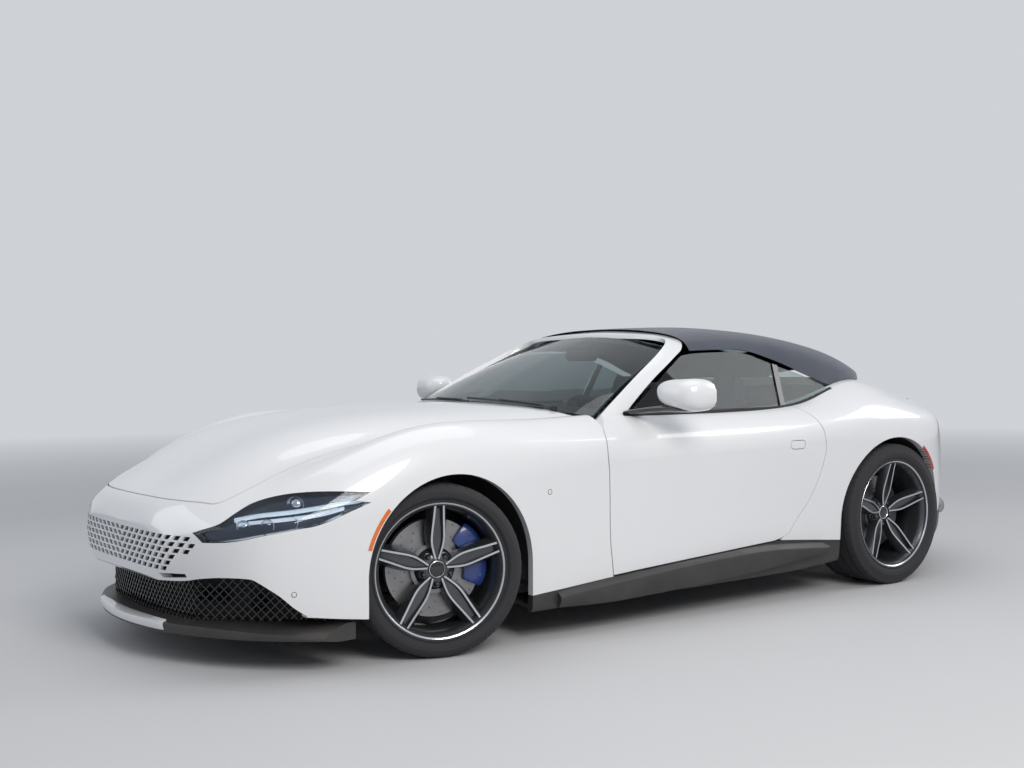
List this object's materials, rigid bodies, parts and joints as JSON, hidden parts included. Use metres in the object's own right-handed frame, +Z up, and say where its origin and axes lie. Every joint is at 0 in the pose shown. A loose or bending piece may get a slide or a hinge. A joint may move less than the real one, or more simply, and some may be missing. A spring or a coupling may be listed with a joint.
{
  "type": "roadster convertible car",
  "caption": "Low two-plus-two roadster with a raised fabric top, long bonnet, opening doors, bonnet and boot lid, steered front wheels and rolling wheels.",
  "frame": {"origin": "on the ground below the middle of the car's length and width", "axes": "+Z up, the nose points along -Y and the car's left side lies on +X"},
  "size_m": [2.228, 4.668, 1.305],
  "materials": {
    "paint_white": "gloss",
    "black_trim": "satin",
    "fabric_top": "woven matt",
    "clear_glass": "polished",
    "lamp_glass": "polished",
    "red_lens": "polished",
    "grey_alloy": "diamond-cut and painted",
    "tyre_rubber": "matt",
    "caliper_blue": "gloss",
    "cast_steel": "as cast",
    "floor_black": "satin",
    "engine_metal": "cast",
    "trim_blue": "fine grain",
    "dash_dark": "fine grain",
    "wheel_leather": "fine grain",
    "pipe_steel": "polished",
    "mesh_black": "satin",
    "core_black": "matt"
  },
  "bodies": {
    "body_shell": {"front_bumper": "paint_white", "nose_grille": "paint_white", "lower_grille": "mesh_black", "splitter": "black_trim", "radiator": "core_black", "headlamps": "lamp_glass", "fenders": "paint_white", "cowl_panel": "black_trim", "sills": "black_trim", "quarter_panels": "paint_white", "quarter_glass": "clear_glass", "tonneau_deck": "paint_white", "rear_bumper": "paint_white", "tail_lamps": "red_lens", "diffuser": "black_trim", "floor_tub": "floor_black", "engine_block": "engine_metal", "front_subframe": "cast_steel", "rear_subframe": "cast_steel", "rear_hub_carriers": "cast_steel", "rear_calipers": "caliper_blue", "windscreen_frame": "paint_white", "windscreen_glass": "clear_glass", "soft_top": "fabric_top", "rear_glass": "clear_glass", "dashboard": "dash_dark", "steering_wheel": "wheel_leather", "seats": "trim_blue", "rear_seat": "trim_blue", "exhaust": "pipe_steel"},
    "front_door_left": {"door_left": "paint_white", "door_glass_left": "clear_glass", "mirror_left": "paint_white"},
    "front_door_right": {"door_right": "paint_white", "door_glass_right": "clear_glass", "mirror_right": "paint_white"},
    "bonnet_panel": {"bonnet": "paint_white"},
    "boot_panel": {"boot_lid": "paint_white"},
    "steering_knuckle_left": {"knuckle_front_left": "cast_steel", "caliper_front_left": "caliper_blue"},
    "steering_knuckle_right": {"knuckle_front_right": "cast_steel", "caliper_front_right": "caliper_blue"},
    "wheel_front_left": {"rim_front_left": "grey_alloy", "tyre_front_left": "tyre_rubber"},
    "wheel_front_right": {"rim_front_right": "grey_alloy", "tyre_front_right": "tyre_rubber"},
    "wheel_rear_left": {"rim_rear_left": "grey_alloy", "tyre_rear_left": "tyre_rubber"},
    "wheel_rear_right": {"rim_rear_right": "grey_alloy", "tyre_rear_right": "tyre_rubber"}
  },
  "joints": [
    {"name": "steer_left", "type": "hinge", "parent": "body_shell", "child": "steering_knuckle_left", "pos_m": [0.74, -1.348, 0.34], "axis": [0, 0, 1], "range_deg": [-18, 48]},
    {"name": "steer_right", "type": "hinge", "parent": "body_shell", "child": "steering_knuckle_right", "pos_m": [-0.74, -1.348, 0.34], "axis": [0, 0, 1], "range_deg": [-18, 48]},
    {"name": "spin_front_left", "type": "hinge", "parent": "steering_knuckle_left", "child": "wheel_front_left", "pos_m": [0.82307, -1.37026, 0.34], "axis": [0.9659, -0.2588, 0], "continuous": true},
    {"name": "spin_front_right", "type": "hinge", "parent": "steering_knuckle_right", "child": "wheel_front_right", "pos_m": [-0.82307, -1.32574, 0.34], "axis": [0.9659, -0.2588, 0], "continuous": true},
    {"name": "spin_rear_left", "type": "hinge", "parent": "body_shell", "child": "wheel_rear_left", "pos_m": [0.8395, 1.312, 0.354], "axis": [1, 0, 0], "continuous": true},
    {"name": "spin_rear_right", "type": "hinge", "parent": "body_shell", "child": "wheel_rear_right", "pos_m": [-0.8395, 1.312, 0.354], "axis": [1, 0, 0], "continuous": true},
    {"name": "door_hinge_left", "type": "hinge", "parent": "body_shell", "child": "front_door_left", "pos_m": [0.93, -0.504, 0.5], "axis": [0, 0, -1], "range_deg": [0, 65]},
    {"name": "door_hinge_right", "type": "hinge", "parent": "body_shell", "child": "front_door_right", "pos_m": [-0.93, -0.504, 0.5], "axis": [0, 0, 1], "range_deg": [0, 65]},
    {"name": "bonnet_hinge", "type": "hinge", "parent": "body_shell", "child": "bonnet_panel", "pos_m": [0, -0.516, 0.905], "axis": [-1, 0, 0], "range_deg": [0, 50]},
    {"name": "boot_hinge", "type": "hinge", "parent": "body_shell", "child": "boot_panel", "pos_m": [0, 1.774, 1.01], "axis": [1, 0, 0], "range_deg": [0, 70]}
  ],
  "couplings": [
    {"joint": "steer_right", "follows": "steer_left", "ratio": 1}
  ]
}
